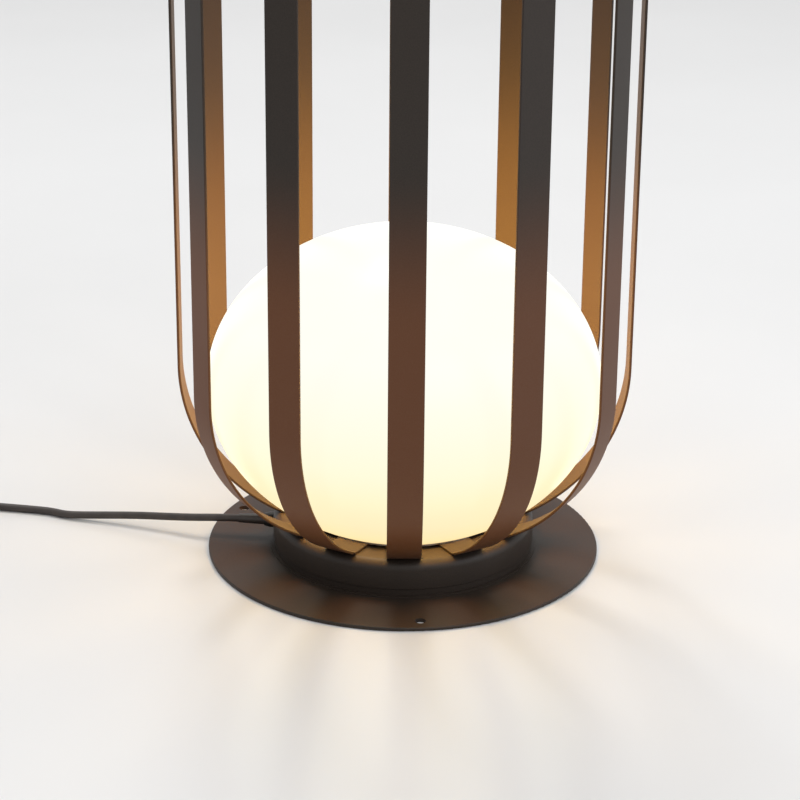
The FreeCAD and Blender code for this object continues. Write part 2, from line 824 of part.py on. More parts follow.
def terminal_screw_spots():
    along = (block_u - terminal_screw_u, block_u + terminal_screw_u)
    return [(u, v) for u in along for v in (-block_pole_v, block_pole_v)]


def make_terminal_block():
    u0, u1 = block_ends()
    body = block(u0, u1, -block_w / 2, block_w / 2, plate_top, plate_top + block_h)
    cuts = [rod_x(pole_d + 2 * seat_gap, u0, u1, v, pole_z()) for v in (-block_pole_v, block_pole_v)]
    block_top = plate_top + block_h
    head_way_d = terminal_head_d + 2 * bore_clear
    cuts += [cylinder(head_way_d, pole_z(), block_top, u, v) for u, v in terminal_screw_spots()]
    cuts.append(cylinder(m3_hole_d, plate_top, block_top, block_u, 0))
    cuts.append(cylinder(m3_head_d + 4 * bore_clear, block_top - block_sink, block_top, block_u, 0))
    return at_gland(body.cut(cuts))


def make_terminal_poles():
    u0, u1 = block_ends()
    tap_d = terminal_screw_d + 2 * bore_clear
    poles = []
    for v in (-block_pole_v, block_pole_v):
        pole = rod_x(pole_d, u0 + pole_end_gap, u1 - pole_end_gap, v, pole_z())
        pole = pole.cut(rod_x(pole_bore_d, u0, u1, v, pole_z()))
        spots = [(u, y) for u, y in terminal_screw_spots() if y == v]
        taps = [cylinder(tap_d, pole_z(), pole_z() + pole_d, u, y) for u, y in spots]
        poles.append(at_gland(pole.cut(taps)))
    return poles


def make_terminal_screws():
    tip = pole_z() + core_d / 2 + seat_gap
    top = plate_top + block_h - terminal_sink
    head_z = pole_z() + pole_d / 2 + 2 * rest_gap
    screws = []
    for u, v in terminal_screw_spots():
        shank = cylinder(terminal_screw_d, tip, head_z, u, v)
        screws.append(at_gland(shank.fuse(cylinder(terminal_head_d, head_z, top, u, v)).removeSplitter()))
    return screws


def make_block_screw():
    seat = plate_top + block_h - block_sink
    return at_gland(moved(button_screw(m3_d, seat, m3_head_d, m3_head_h, seat), block_u, 0))


# ---------------------------------------------------------------- round tubes along a route
def rounded_route(name, points, show=True):
    """Straight runs joined by tangent arcs, each as large as its two runs allow."""
    points = [V(*p) for p in points]
    edges = []
    radii = []
    here = points[0]
    for before, corner, after in zip(points, points[1:], points[2:]):
        back = before - corner
        ahead = after - corner
        half_turn = (math.pi - back.getAngle(ahead)) / 2
        reach = 0.45 * min(back.Length, ahead.Length)
        radius = reach / math.tan(half_turn)
        radii.append(radius)
        back.normalize()
        ahead.normalize()
        start = corner + back * reach
        end = corner + ahead * reach
        inward = (back + ahead).normalize()
        middle = corner + inward * (radius / math.cos(half_turn) - radius)
        edges.append(Part.LineSegment(here, start).toShape())
        edges.append(Part.Arc(start, middle, end).toShape())
        here = end
    edges.append(Part.LineSegment(here, points[-1]).toShape())
    if show:
        print(name, "radii", " ".join("%.0f" % r for r in radii))
    return Part.Wire(edges)


def tube(name, route, diameter, start, heading):
    """A round tube along a wire, checked against its section times its length."""
    section = Part.Wire(Part.makeCircle(diameter / 2, start, heading))
    solid = route.makePipeShell([section], True, False)
    solid = Part.Solid(solid) if solid.ShapeType == "Shell" else solid
    expected = math.pi * diameter**2 / 4 * route.Length
    print("%s length %.1f volume ratio %.5f" % (name, route.Length, solid.Volume / expected))
    return solid


def routed_tube(name, points, diameter):
    route = rounded_route(name, points, diameter == cable_d)
    start = V(*points[0])
    return tube(name, route, diameter, start, V(*points[1]) - start)


def make_core(name, side):
    """One insulated core: from the lead's end to the block, and from the block up to the lampholder."""
    u0, u1 = block_ends()
    z = pole_z()
    lane = side * block_pole_v
    feed = [
        (sheath_end(), side * 1.3, gland_z),
        (sheath_end() - 3.0, side * 1.3, gland_z),
        (u1 + 3.6, lane - side * 0.3, z + 0.6),
        (u1 - 1.0, lane, z),
        (u1 - 3.5, lane, z - 0.01),
    ]
    way_up = side * core_way_v
    rise = [
        (u0 + 3.0, lane, z),
        (u0 - 6.0, lane, z + 0.2),
        (u0 - 26.0, lane, z - 2.0),
        (4.0, way_up, z + 1.0),
        (0.2, way_up, bridge_top - 6),
        (0.0, way_up, socket_floor - 0.5),
    ]
    ways = {name + "_feed": feed, name + "_rise": rise}
    return [at_gland(routed_tube(way, points, core_d)) for way, points in ways.items()]


# ---------------------------------------------------------------- free lead, coil and plug
relief_end = polar(relief_tip_r, gland_deg, gland_z)
lead_straight = polar(relief_tip_r + lead_first_run, gland_deg, gland_z)
lead_points = [tuple(relief_end), tuple(lead_straight)] + lead_middle
coil_start = V(*lead_middle[-1])
coil_centre = coil_start + V(-cable_d, -coil_outer_r, 0)
coil_first_deg = 90.0
half_angle = coil_turns * math.pi


def coil_radius(angle):
    """Spirals in at a steady rate over the lower layer and out again over the upper one."""
    wound = min(angle, 2 * half_angle - angle)
    return coil_outer_r - coil_pitch * wound / (2 * math.pi)


def coil_station(angle):
    """A point of the coil's centreline and its heading, at an angle wound since the start."""
    at = math.radians(coil_first_deg) + angle
    r = coil_radius(angle)
    slope = math.copysign(coil_pitch / (2 * math.pi), angle - half_angle)
    if min(abs(angle - stop) for stop in (0.0, half_angle, 2 * half_angle)) < 1e-6:
        slope = 0.0
    climb = min(max((angle - half_angle) / math.pi + 0.5, 0.0), 1.0)
    rise = coil_layer_h * (1 - math.cos(math.pi * climb)) / 2
    lift = coil_layer_h * math.sin(math.pi * climb) / 2
    point = coil_centre + V(r * math.cos(at), r * math.sin(at), rise)
    heading = V(slope * math.cos(at) - r * math.sin(at), slope * math.sin(at) + r * math.cos(at), lift)
    return point, heading.normalize()


def biarc(p0, t0, p1, t1):
    """Two arcs that join p0 to p1 and keep the headings at both ends."""
    v = p1 - p0
    t = t0 + t1
    denominator = 2 * (1 - t0.dot(t1))
    vt = v.dot(t)
    if denominator < 1e-9:
        reach = v.dot(v) / (4 * v.dot(t1))
    else:
        reach = (-vt + math.sqrt(vt * vt + denominator * v.dot(v))) / denominator
    joint = (p0 + t0 * reach + p1 - t1 * reach) * 0.5
    return [arc_from(p0, t0, joint), arc_to(joint, p1, t1)]


def arc_from(start, heading, end):
    """The arc from start to end that leaves start along heading."""
    chord = end - start
    across = chord - heading * chord.dot(heading)
    half = heading.getAngle(chord)
    across.normalize()
    sagitta = chord.Length / 2 * math.tan(half / 2)
    outward = (heading * chord.dot(across) - across * chord.dot(heading)).normalize()
    middle = (start + end) * 0.5 + outward * sagitta
    return Part.Arc(start, middle, end).toShape()


def arc_to(start, end, heading):
    """The arc from start to end that reaches end along heading."""
    back = arc_from(end, heading * -1, start)
    return Part.Arc(start, back.valueAt((back.FirstParameter + back.LastParameter) / 2), end).toShape()


def coil_stations():
    """The wound stations, where the tail has cleared the turns, and where it meets the plug's height."""
    stations = [coil_station(2 * half_angle * i / coil_steps) for i in range(coil_steps + 1)]
    end, heading = stations[-1]
    clear = end + heading * tail_straight
    drop = end.z - plug_thick / 2
    return stations, (clear, heading), (clear + heading * tail_drop_len - V(0, 0, drop), heading)


def coil_route():
    stations, clear, low = coil_stations()
    edges = [Part.LineSegment(coil_start, stations[0][0]).toShape()]
    for (p0, t0), (p1, t1) in zip(stations, stations[1:]):
        edges += biarc(p0, t0, p1, t1)
    edges.append(Part.LineSegment(stations[-1][0], clear[0]).toShape())
    edges += biarc(*clear, *low)
    edges.append(Part.LineSegment(low[0], low[0] + low[1] * cable_d).toShape())
    return Part.Wire(edges)


def least_self_gap(route):
    """The smallest gap between two turns, measured on points 2 mm apart."""
    points = route.discretize(Distance=2.0)
    skip = 12
    least = min(
        (points[i] - points[j]).Length
        for i in range(len(points))
        for j in range(i + skip, len(points))
    )
    return least - cable_d


def make_coil():
    route = coil_route()
    print("coil least gap to itself %.2f mm" % least_self_gap(route))
    return tube("cord_coil", route, cable_d, coil_start, V(-1, 0, 0))


def make_coil_tie():
    """A flat strap round the bundle of turns."""
    part_turn = (tie_deg - coil_first_deg) / 360.0 % 1.0
    wound = [2 * math.pi * (part_turn + i) for i in range(int(coil_turns - part_turn) + 1)]
    radii = [coil_radius(a + near) for a in wound for near in (-0.25, 0.0, 0.25)]
    inner = math.sqrt(min(radii) ** 2 - (tie_w / 2) ** 2) - cable_d / 2 - tie_gap
    outer = max(radii) + cable_d / 2 + tie_gap
    low = coil_start.z - cable_d / 2 - tie_gap
    high = coil_start.z + coil_layer_h + cable_d / 2 + tie_gap
    strap = block(inner - tie_t, outer + tie_t, -tie_w / 2, tie_w / 2, low - tie_t, high + tie_t)
    strap = strap.cut(block(inner, outer, -tie_w / 2, tie_w / 2, low, high))
    corners = [e for e in strap.Edges if e.BoundBox.YLength > tie_w / 2]
    sharp = [e for e in corners if e.BoundBox.XMin < inner - tie_t / 2 or e.BoundBox.XMin > outer + tie_t / 2]
    strap = strap.makeFillet(tie_t * 0.9, sharp)
    strap = turned(strap, tie_deg)
    return moved(strap, coil_centre.x, coil_centre.y)


def at_plug(shape):
    """Turns a shape made along +X from the plug's cable end to where the plug lies."""
    end, heading = coil_stations()[2]
    start = end + heading * cable_d
    copy = turned(shape, math.degrees(math.atan2(heading.y, heading.x)))
    copy.translate(start)
    return copy


def plug_section(x, width, thick):
    """The plug's long hexagon, square to its pins."""
    point = thick / 2 * 0.62
    w = width / 2
    h = thick / 2
    outline = [(w, 0), (w - point, h), (point - w, h), (-w, 0), (point - w, -h), (w - point, -h), (w, 0)]
    return Part.makePolygon([V(x, y, z) for y, z in outline])


def make_plug_body():
    start = plug_relief_len
    shoulder = start + plug_shoulder_len
    front = start + plug_body_len
    body = Part.makeLoft([
        plug_section(start, plug_back_w, plug_back_thick),
        plug_section(shoulder, plug_w, plug_thick),
        plug_section(front, plug_w, plug_thick),
    ], True, True)
    relief = Part.makeCone(plug_relief_tip_d / 2, plug_relief_root_d / 2, start, O, V(1, 0, 0))
    body = body.fuse(relief).removeSplitter()
    root_d = pin_d + 2 * seat_gap
    holes = [rod_x(root_d, front - pin_root_len, front, y, 0) for y in (-pin_pitch / 2, pin_pitch / 2)]
    return at_plug(body.cut(holes))


def make_plug_pins():
    """Two pins with a thinner core under their sleeves and a rounded end."""
    front = plug_relief_len + plug_body_len
    pins = []
    for y in (-pin_pitch / 2, pin_pitch / 2):
        root = rod_x(pin_d, front - pin_root_len, front, y, 0)
        core = rod_x(pin_core_d, front, front + pin_sleeve_len, y, 0)
        tip_end = front + pin_len - pin_d / 2
        tip = rod_x(pin_d, front + pin_sleeve_len, tip_end, y, 0)
        nose = Part.makeSphere(pin_d / 2, V(tip_end, y, 0))
        pins.append(at_plug(root.fuse([core, tip, nose]).removeSplitter()))
    return pins


def make_pin_sleeves():
    front = plug_relief_len + plug_body_len
    sleeves = []
    for y in (-pin_pitch / 2, pin_pitch / 2):
        sleeve = rod_x(pin_sleeve_d, front, front + pin_sleeve_len, y, 0)
        sleeves.append(at_plug(sleeve.cut(rod_x(pin_core_d, front, front + pin_sleeve_len, y, 0))))
    return sleeves


# ---------------------------------------------------------------- write every node
def main():
    os.makedirs("parts", exist_ok=True)
    save("floor_plate", make_plate())
    save("pedestal_ring", make_pedestal_ring())
    save("pedestal_cap", make_pedestal_cap())
    save("pedestal_pillars", around(moved(make_pillar(), pillar_ring_r, 0), pillar_count, pillar_first_deg))
    save("plate_screws", around(moved(make_plate_screw(), pillar_ring_r, 0), pillar_count, pillar_first_deg))
    pillar_screw = button_screw(m4_d, pillar_screw_len, m4_head_d, m4_head_h, cap_top)
    save("pillar_screws", around(moved(pillar_screw, pillar_ring_r, 0), pillar_count, pillar_first_deg))

    strip = make_strip()
    for i in range(strip_count):
        save("cage_strip_%02d" % (i + 1), turned(strip, 360.0 * i / strip_count))
    tab_screw = button_screw(m4_d, tab_screw_len, m4_head_d, m4_head_h, gallery_top)
    save("tab_screws", around(moved(tab_screw, tab_screw_ring_r, 0), strip_count))
    nut = hexagon(m4_nut_across, cap_under - m4_nut_h, cap_under)
    nut = nut.cut(cylinder(m4_d + 2 * seat_gap, cap_under - m4_nut_h, cap_under))
    save("tab_nuts", around(moved(nut, tab_screw_ring_r, 0), strip_count))

    save("top_plate", make_top_plate())
    save("top_cap", make_top_cap())
    save("top_stud", make_top_stud())
    save("acorn_nut", make_acorn_nut())
    top_under = top_fold_z - strip_t - top_plate_t
    top_screw = button_screw(m4_d, tab_screw_len, m4_head_d, m4_head_h, top_fold_z)
    save("top_screws", around(moved(top_screw, tab_screw_ring_r, 0), strip_count))
    save("top_nuts", around(moved(nut, tab_screw_ring_r, 0, top_under - cap_under), strip_count))

    save("gallery_ring", make_gallery())
    save("globe_gasket", make_gasket())
    save("globe", make_globe())

    save("lamp_bridge", make_bridge())
    save("bridge_screws", make_bridge_screws())
    save("lampholder", make_holder())
    save("lampholder_screws", make_holder_screws())
    save("screw_shell", make_holder_shell())
    save("centre_contact", make_centre_contact())
    save("lamp_cap", make_lamp_cap())
    save("lamp_body", make_lamp_body())
    save("lamp_dome", make_lamp_dome())

    save("gland_body", make_gland_body())
    save("gland_nut", make_gland_nut())
    save("gland_locknut", make_gland_locknut())
    save("strain_relief", make_relief())
    save("cable_inner", make_cable_inner())
    save("cord_clamp_base", make_clamp_base())
    save("cord_clamp_bar", make_clamp_bar())
    save("clamp_screws", make_clamp_screws())
    save("terminal_block", make_terminal_block())
    save("terminal_poles", make_terminal_poles())
    save("terminal_screws", make_terminal_screws())
    save("block_screw", make_block_screw())
    save("core_brown", make_core("core_brown", 1))
    save("core_blue", make_core("core_blue", -1))

    save("cord_lead", routed_tube("cord_lead", lead_points, cable_d))
    save("cord_coil", make_coil())
    save("coil_tie", make_coil_tie())
    save("plug_body", make_plug_body())
    save("plug_pins", make_plug_pins())
    save("pin_sleeves", make_pin_sleeves())


main()
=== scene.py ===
import json
import math

import bmesh
import bpy
import numpy as np
from mathutils import Matrix, Vector

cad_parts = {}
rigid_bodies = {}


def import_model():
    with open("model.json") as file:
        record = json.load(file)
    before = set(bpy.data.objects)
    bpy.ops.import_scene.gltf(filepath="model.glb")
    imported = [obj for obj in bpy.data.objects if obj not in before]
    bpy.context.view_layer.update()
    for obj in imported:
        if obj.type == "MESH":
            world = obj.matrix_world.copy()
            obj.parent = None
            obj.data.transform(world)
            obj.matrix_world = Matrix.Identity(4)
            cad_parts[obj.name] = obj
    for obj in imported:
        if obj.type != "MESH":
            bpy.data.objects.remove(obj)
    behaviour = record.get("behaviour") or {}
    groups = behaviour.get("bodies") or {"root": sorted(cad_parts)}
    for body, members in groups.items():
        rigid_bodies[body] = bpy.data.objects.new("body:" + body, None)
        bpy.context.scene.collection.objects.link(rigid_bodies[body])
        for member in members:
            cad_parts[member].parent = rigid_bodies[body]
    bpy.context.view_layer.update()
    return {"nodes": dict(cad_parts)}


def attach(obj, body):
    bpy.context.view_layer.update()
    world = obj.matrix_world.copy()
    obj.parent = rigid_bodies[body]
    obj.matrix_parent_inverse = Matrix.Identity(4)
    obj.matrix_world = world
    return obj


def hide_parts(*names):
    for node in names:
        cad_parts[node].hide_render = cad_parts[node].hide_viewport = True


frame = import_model()
cad = frame["nodes"]

# ---------------------------------------------------------------- the view
# The photograph looks down on the lamp's lower half from 1.79 m in front and 0.84 m up, through a long
# lens. The place and the turn of the view are worked out from the lamp's own axis, in metres and radians.
VIEW_BACK = 1.79070
VIEW_UP = 0.83608
VIEW_PITCH = 0.3805
VIEW_ROLL = 0.0092
VIEW_TURN = 0.0082
VIEW_AIM = 0.00145
AXIS_SHIFT = 0.0006
SENSOR = 36.0
FOCAL_PIXELS = 2544.87
PHOTO_SIDE = 800

ahead = Vector((
    -math.sin(VIEW_AIM) * math.cos(VIEW_PITCH),
    math.cos(VIEW_AIM) * math.cos(VIEW_PITCH),
    -math.sin(VIEW_PITCH),
))
level = ahead.cross(Vector((0, 0, 1))).normalized()
over = level.cross(ahead)
right = level * math.cos(VIEW_ROLL) + over * math.sin(VIEW_ROLL)
up = over * math.cos(VIEW_ROLL) - level * math.sin(VIEW_ROLL)
lamp_turn = Matrix.Rotation(-VIEW_TURN, 3, "Z")
right, up, back = lamp_turn @ right, lamp_turn @ up, lamp_turn @ -ahead
stand = lamp_turn @ Vector((-AXIS_SHIFT, -VIEW_BACK, VIEW_UP))

lens = bpy.data.cameras.new("photo_view")
lens.sensor_width = SENSOR
lens.lens = FOCAL_PIXELS / PHOTO_SIDE * SENSOR
lens.clip_end = 60.0
view = bpy.data.objects.new("photo_view", lens)
view.matrix_world = Matrix((
    (right.x, up.x, back.x, stand.x),
    (right.y, up.y, back.y, stand.y),
    (right.z, up.z, back.z, stand.z),
    (0, 0, 0, 1),
))
bpy.context.collection.objects.link(view)
bpy.context.scene.camera = view
bpy.context.scene.view_settings.view_transform = "Standard"

# ---------------------------------------------------------------- mains lead
# A round two-core lead, 6 mm across, with a soft PVC sheath. It leaves the pedestal through a gland, comes
# down to the floor with its last kinks still in it, and its spare length is wound in a coil of two layers.
LEAD_D = 0.006
GLAND_DEG = 175.5
GLAND_Z = 0.0163
RELIEF_TIP_R = 0.1276
FIRST_RUN = 0.014
COIL_TURNS = 7.2
COIL_R = 0.0475
COIL_PITCH = 0.0065
COIL_LAYER = 0.0065
POINTS_PER_TURN = 24
TAIL_STRAIGHT = 0.013
TAIL_DROP = 0.024
PLUG_HALF = 0.00685
lead_floor = [
    (-0.1605, 0.0150, 0.0143),
    (-0.1820, 0.0220, 0.0116),
    (-0.2050, 0.0292, 0.0093),
    (-0.2280, 0.0353, 0.0066),
    (-0.2485, 0.0394, 0.0046),
    (-0.2660, 0.0432, 0.0031),
    (-0.2780, 0.0498, 0.0031),
    (-0.2960, 0.0538, 0.0030),
    (-0.3190, 0.0580, 0.0030),
    (-0.3410, 0.0612, 0.0034),
    (-0.3620, 0.0620, 0.0045),
    (-0.3785, 0.0620, 0.0045),
]


def polar(radius, degrees, z):
    angle = math.radians(degrees)
    return (radius * math.cos(angle), radius * math.sin(angle), z)


lead_exit = polar(RELIEF_TIP_R, GLAND_DEG, GLAND_Z)
coil_start = Vector(lead_floor[-1])
coil_middle = coil_start + Vector((-LEAD_D, -COIL_R, 0))
half_wound = COIL_TURNS * math.pi


def coil_points():
    """Radius falls one pitch a turn to the middle of the winding and grows again; there the lead climbs a layer."""
    angle = np.linspace(0, 2 * half_wound, int(COIL_TURNS * POINTS_PER_TURN) + 1)
    radius = COIL_R - COIL_PITCH * np.minimum(angle, 2 * half_wound - angle) / (2 * math.pi)
    climb = np.clip((angle - half_wound) / math.pi + 0.5, 0, 1)
    rise = COIL_LAYER * (1 - np.cos(math.pi * climb)) / 2
    at = angle + math.pi / 2
    ring = np.stack([radius * np.cos(at), radius * np.sin(at), rise], axis=1)
    return ring + np.array(coil_middle)


turns = coil_points()
last_at = math.pi / 2 + 2 * half_wound
plug_heading = Vector((-math.sin(last_at), math.cos(last_at), 0))
tail_start = Vector(turns[-1])
tail_clear = tail_start + plug_heading * TAIL_STRAIGHT
tail_low = tail_clear + plug_heading * TAIL_DROP
tail_low.z = PLUG_HALF
plug_start = tail_low + plug_heading * LEAD_D
tail = [
    tail_start + plug_heading * TAIL_STRAIGHT * 0.55,
    tail_clear + plug_heading * TAIL_DROP * 0.12,
    tail_clear.lerp(tail_low, 0.5),
    tail_low - plug_heading * TAIL_DROP * 0.12,
    tail_low + plug_heading * LEAD_D * 0.4,
    plug_start,
]
route = [lead_exit, polar(RELIEF_TIP_R + FIRST_RUN, GLAND_DEG, GLAND_Z)] + lead_floor[:-1]
route += [tuple(p) for p in turns] + [tuple(p) for p in tail]

lead_curve = bpy.data.curves.new("mains_lead", "CURVE")
lead_curve.dimensions = "3D"
lead_curve.bevel_depth = 1.0
lead_curve.bevel_resolution = 5
lead_curve.resolution_u = 6
lead_curve.use_fill_caps = True
line = lead_curve.splines.new("NURBS")
line.points.add(len(route) - 1)
line.points.foreach_set("co", np.array([(*p, 1.0) for p in route]).ravel())
line.points.foreach_set("radius", np.full(len(route), LEAD_D / 2))
line.order_u = 3
line.use_endpoint_u = True
mains_lead = bpy.data.objects.new("mains_lead", lead_curve)
bpy.context.collection.objects.link(mains_lead)
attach(mains_lead, "root")
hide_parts("cord_lead", "cord_coil")


def colour(code, alpha=1.0):
    """An sRGB hex code as linear red, green, blue and alpha."""
    parts = [int(code[i:i + 2], 16) / 255 for i in (1, 3, 5)]
    return tuple(c / 12.92 if c <= 0.04045 else ((c + 0.055) / 1.055) ** 2.4 for c in parts) + (alpha,)


def add(tree, kind, values=None, links=None, **settings):
    """Adds a node of that kind to a node tree, with its settings, its sockets' values and its links."""
    node = tree.nodes.new("ShaderNode" + kind)
    for name, value in settings.items():
        setattr(node, name, value)
    for key, value in (values or {}).items():
        node.inputs[key].default_value = value
    for key, source in (links or {}).items():
        tree.links.new(source, node.inputs[key])
    return node


def blank_material(name):
    """A material with an empty node tree; returns it with its tree and its object coordinates."""
    material = bpy.data.materials.new(name)
    material.use_nodes = True
    tree = material.node_tree
    tree.nodes.clear()
    return material, tree, add(tree, "TexCoord").outputs["Object"]


def finish_material(tree, shader):
    add(tree, "OutputMaterial", links={"Surface": shader.outputs[0]})


def mottled(tree, place, grain_mm, dark, light, detail=3.0):
    """Two near tones of one colour, mixed by a noise with grains of that size in millimetres."""
    noise = add(tree, "TexNoise", {"Scale": 1000 / grain_mm, "Detail": detail}, {"Vector": place})
    spread = add(tree, "MapRange", {"From Min": 0.3, "From Max": 0.7}, {"Value": noise.outputs["Fac"]})
    mix = add(tree, "Mix", {6: colour(dark), 7: colour(light)}, {0: spread.outputs[0]}, data_type="RGBA")
    return mix.outputs[2], noise.outputs["Fac"]


def dress(name, material):
    """Gives a CAD node one material in place of what it came with."""
    cad[name].data.materials.clear()
    cad[name].data.materials.append(material)


# Soft PVC: a dull, slightly waxy skin with faint drag lines from the extruder, about 1.5 mm apart.
pvc_sheath, tree, place = blank_material("soft_pvc_sheath")
tone, grain = mottled(tree, place, 9.0, "#2c2522", "#3a322e")
drag = add(tree, "TexNoise", {"Scale": 650.0, "Detail": 2.0}, {"Vector": place})
drag_bump = add(tree, "Bump", {"Strength": 0.2, "Distance": 0.00008}, {"Height": drag.outputs["Fac"]})
finish_material(tree, add(
    tree, "BsdfPrincipled", {"Roughness": 0.46, "IOR": 1.52},
    {"Base Color": tone, "Normal": drag_bump.outputs[0]},
))
lead_curve.materials.append(pvc_sheath)

# ---------------------------------------------------------------- floor
# A pale, smooth studio floor that runs out past every edge of the picture. It shows the lamp's blurred
# mirror image near the plate.
FLOOR_REACH = 40.0
FLOOR_DROP = 0.0001

floor_mesh = bpy.data.meshes.new("studio_floor")
floor_mesh.from_pydata(
    [(-FLOOR_REACH, -FLOOR_REACH, -FLOOR_DROP), (FLOOR_REACH, -FLOOR_REACH, -FLOOR_DROP),
     (FLOOR_REACH, FLOOR_REACH, -FLOOR_DROP), (-FLOOR_REACH, FLOOR_REACH, -FLOOR_DROP)],
    [], [(0, 1, 2, 3)],
)
studio_floor = bpy.data.objects.new("studio_floor", floor_mesh)
bpy.context.collection.objects.link(studio_floor)

pale_floor, tree, place = blank_material("pale_painted_floor")
tone, grain = mottled(tree, place, 400.0, "#ededed", "#f1f1f1")
finish_material(tree, add(
    tree, "BsdfPrincipled", {"Roughness": 0.24, "IOR": 1.45},
    {"Base Color": tone},
))
floor_mesh.materials.append(pale_floor)


# ---------------------------------------------------------------- pedestal
# A spun steel cap, 200 mm across, over a turned ring that sets a narrow recessed band under its skirt.
# Both have the cage's finish. The ring's thin flange lies on the floor plate.
CAP_R = 0.100
CAP_LOW = 0.009
CAP_TOP = 0.031
CAP_WALL = 0.002
CAP_EDGE = 0.007
MOUTH_R = 0.036
BAND_R = 0.099
FLANGE_R = 0.102
RING_IN = 0.0958
PLATE_TOP = 0.003
EDGE_GUARD = 0.0004


def rounded_outline(corners, steps=5):
    """A closed outline from corners (radius, height, rounding): each corner becomes an arc tangent to both
    sides, with one guard point just past each end of it, which keeps the flats flat when shaded smooth."""
    pts = []
    n = len(corners)
    for i in range(n):
        here = np.array(corners[i][:2])
        before = np.array(corners[i - 1][:2]) - here
        after = np.array(corners[(i + 1) % n][:2]) - here
        room_b, room_a = np.linalg.norm(before), np.linalg.norm(after)
        before, after = before / room_b, after / room_a
        half = math.acos(float(np.clip(before @ after, -1, 1))) / 2
        size = corners[i][2]
        reach = size / math.tan(half)
        middle = here + (before + after) / np.linalg.norm(before + after) * size / math.sin(half)
        if room_b > 3 * (reach + EDGE_GUARD):
            pts.append(here + before * (reach + EDGE_GUARD))
        first = here + before * reach - middle
        last = here + after * reach - middle
        span = math.acos(float(np.clip(first @ last / size**2, -1, 1)))
        for k in range(steps + 1):
            t = k / steps
            pts.append(middle + (math.sin((1 - t) * span) * first + math.sin(t * span) * last) / math.sin(span))
        if room_a > 3 * (reach + EDGE_GUARD):
            pts.append(here + after * (reach + EDGE_GUARD))
    return np.array(pts)


def grid_piece(name, points, loop_rows, loop_columns, ends=False):
    """A mesh over a grid of points, shape (rows, columns, 3). Rows or columns may close on themselves, and
    ends fills the first and last row with a face. Doubled points, as at a pole, are merged."""
    rows, columns = points.shape[:2]
    index = np.arange(rows * columns).reshape(rows, columns)
    below = index if loop_rows else index[:-1]
    above = np.roll(index, -1, axis=0) if loop_rows else index[1:]
    sides = [np.roll(a, -1, axis=1) for a in (below, above)]
    faces = np.stack([below, sides[0], sides[1], above], axis=-1)
    if not loop_columns:
        faces = faces[:, :-1]
    mesh = bpy.data.meshes.new(name)
    listed = faces.reshape(-1, 4).tolist()
    if ends:
        listed += [index[0][::-1].tolist(), index[-1].tolist()]
    mesh.from_pydata(points.reshape(-1, 3).tolist(), [], listed)
    shape = bmesh.new()
    shape.from_mesh(mesh)
    bmesh.ops.remove_doubles(shape, verts=shape.verts, dist=1e-7)
    bmesh.ops.recalc_face_normals(shape, faces=shape.faces)
    shape.to_mesh(mesh)
    shape.free()
    smooth = np.ones(len(mesh.polygons), dtype=bool)
    if ends:
        sizes = np.zeros(len(mesh.polygons), dtype=np.int32)
        mesh.polygons.foreach_get("loop_total", sizes)
        smooth[sizes > 4] = False
    mesh.polygons.foreach_set("use_smooth", smooth)
    piece = bpy.data.objects.new(name, mesh)
    bpy.context.collection.objects.link(piece)
    return piece


def lathed(name, outline, steps=160):
    """The outline (radius, height) carried round the lamp's axis: x = r cos a, y = r sin a."""
    a = np.linspace(0, 2 * math.pi, steps, endpoint=False)
    r, z = outline[:, 0][:, None], outline[:, 1][:, None]
    grid = np.stack([r * np.cos(a), r * np.sin(a), z + 0 * a], axis=-1)
    return grid_piece(name, grid, True, True)


# Polyester powder coat in a graphite brown, baked on: satin, with an orange-peel ripple about 1.6 mm across
# (drawn a little coarser so that it shows) and a fine dark and light fleck. On the cage bars the coat also carries a
# painted glow: a warm emission at the globe's height, fading above, that stands in for the lit globe's bloom.
COAT_DARK = "#2a231e"
COAT_LIGHT = "#322a24"
PAINTED_BLOOM_TINT = "#4b2400"
BLOOM_LOW = 0.02
BLOOM_FULL = 0.085
BLOOM_FADE = 0.235
BLOOM_TOP = 0.355


def powder_coat(name, bloom):
    material, tree, place = blank_material(name)
    tone, grain = mottled(tree, place, 0.9, COAT_DARK, COAT_LIGHT, 2.0)
    ripple = add(tree, "TexNoise", {"Scale": 520.0, "Detail": 1.0}, {"Vector": place})
    bump = add(tree, "Bump", {"Strength": 0.16, "Distance": 0.0001}, {"Height": ripple.outputs["Fac"]})
    handled = add(tree, "TexNoise", {"Scale": 14.0, "Detail": 2.0}, {"Vector": place})
    satin = add(tree, "MapRange", {"To Min": 0.42, "To Max": 0.5}, {"Value": handled.outputs["Fac"]})
    links = {"Base Color": tone, "Roughness": satin.outputs[0], "Normal": bump.outputs[0]}
    # Painted light: a warm emission by height, strongest at the globe and fading above, stands in for the globe's
    # bloom.
    if bloom:
        height = add(tree, "SeparateXYZ", links={0: place}).outputs["Z"]
        rise = add(tree, "MapRange", {"From Min": BLOOM_LOW, "From Max": BLOOM_FULL}, {"Value": height},
                   interpolation_type="SMOOTHSTEP")
        fall = add(tree, "MapRange", {"From Min": BLOOM_TOP, "From Max": BLOOM_FADE}, {"Value": height},
                   interpolation_type="SMOOTHSTEP")
        painted_bloom_share = add(tree, "Math", links={0: rise.outputs[0], 1: fall.outputs[0]}, operation="MULTIPLY")
        glow = add(tree, "Mix", {6: (0, 0, 0, 1), 7: colour(PAINTED_BLOOM_TINT)}, {0: painted_bloom_share.outputs[0]}, data_type="RGBA")
        links["Emission Color"] = glow.outputs[2]
    shader = add(tree, "BsdfPrincipled", {"IOR": 1.36, "Emission Strength": 1.0 if bloom else 0.0}, links)
    finish_material(tree, shader)
    return material


coat = powder_coat("graphite_powder_coat", False)
coat_with_painted_bloom = powder_coat("graphite_powder_coat_in_glow", True)

